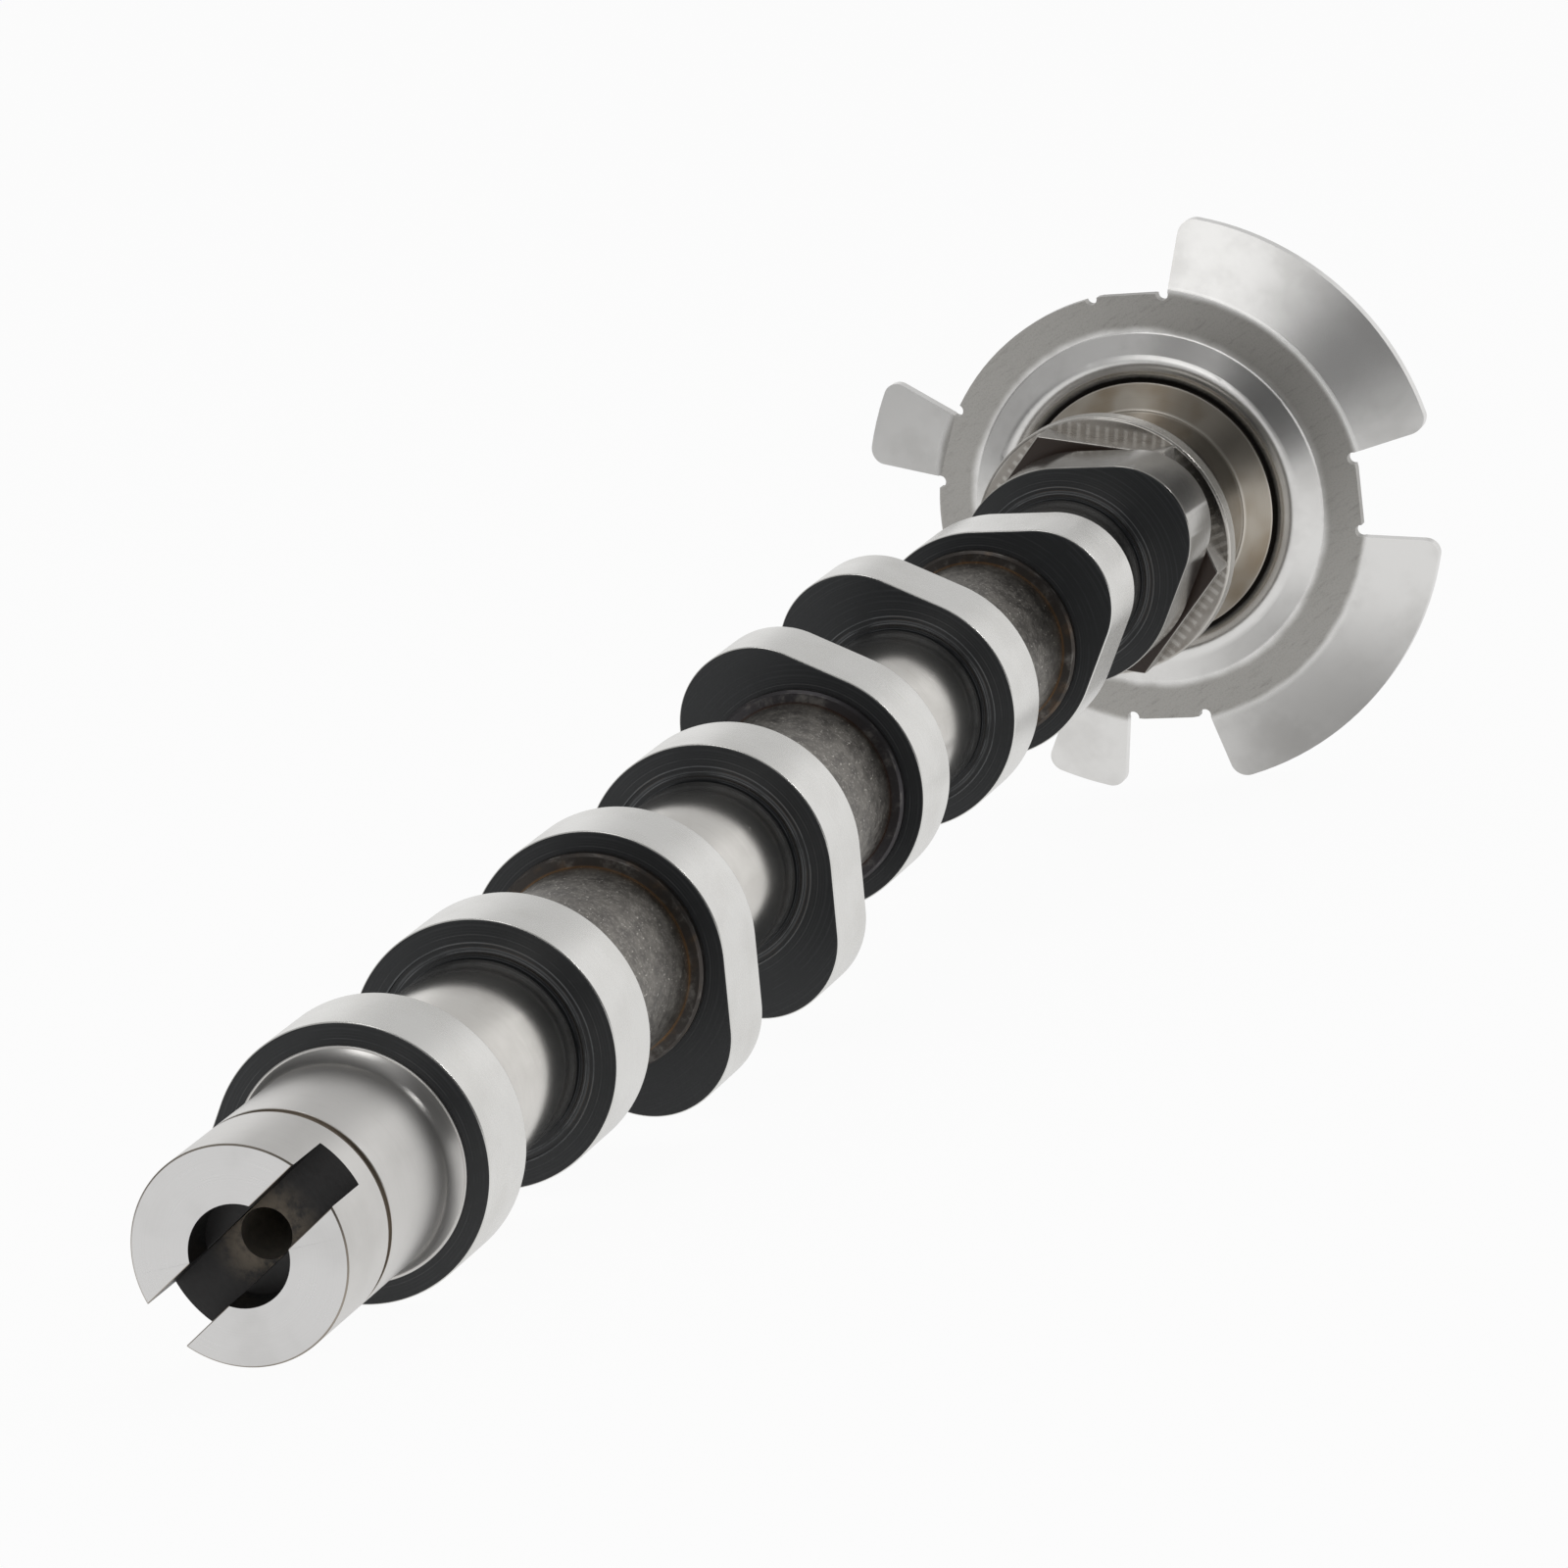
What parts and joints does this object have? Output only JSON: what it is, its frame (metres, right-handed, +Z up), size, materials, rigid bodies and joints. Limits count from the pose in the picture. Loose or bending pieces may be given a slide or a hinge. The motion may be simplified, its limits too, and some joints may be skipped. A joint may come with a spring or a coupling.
{
  "type": "camshaft",
  "caption": "Assembled engine camshaft: steel tube with ground journals and pairs of cam lobes, a slotted driving dog at one end, a hexagon, journal and toothed trigger wheel at the other.",
  "frame": {"origin": "bottom centre of the bounding box, on the table the camshaft lies on", "axes": "+X towards the trigger wheel, level; the shaft's own axis rises by the resting tilt towards +X; +Z up; the first lobe pair's noses point down to the +Y side"},
  "size_m": [0.4188, 0.093, 0.0923],
  "materials": {
    "turned_steel": "ground and turned, satin",
    "tube_steel": "drawn tube, dull, with ground journals",
    "lobe_steel": "dark sides, ground running bands",
    "sheet_steel": "pressed sheet, satin",
    "pin_steel": "ground"
  },
  "bodies": {
    "root": {"slotted_end": "turned_steel", "shaft_tube": "tube_steel", "cam_lobe_1": "lobe_steel", "cam_lobe_2": "lobe_steel", "cam_lobe_3": "lobe_steel", "cam_lobe_4": "lobe_steel", "cam_lobe_5": "lobe_steel", "cam_lobe_6": "lobe_steel", "cam_lobe_7": "lobe_steel", "cam_lobe_8": "lobe_steel", "drive_end": "turned_steel", "trigger_wheel": "sheet_steel", "dowel_pin": "pin_steel"}
  },
  "joints": []
}
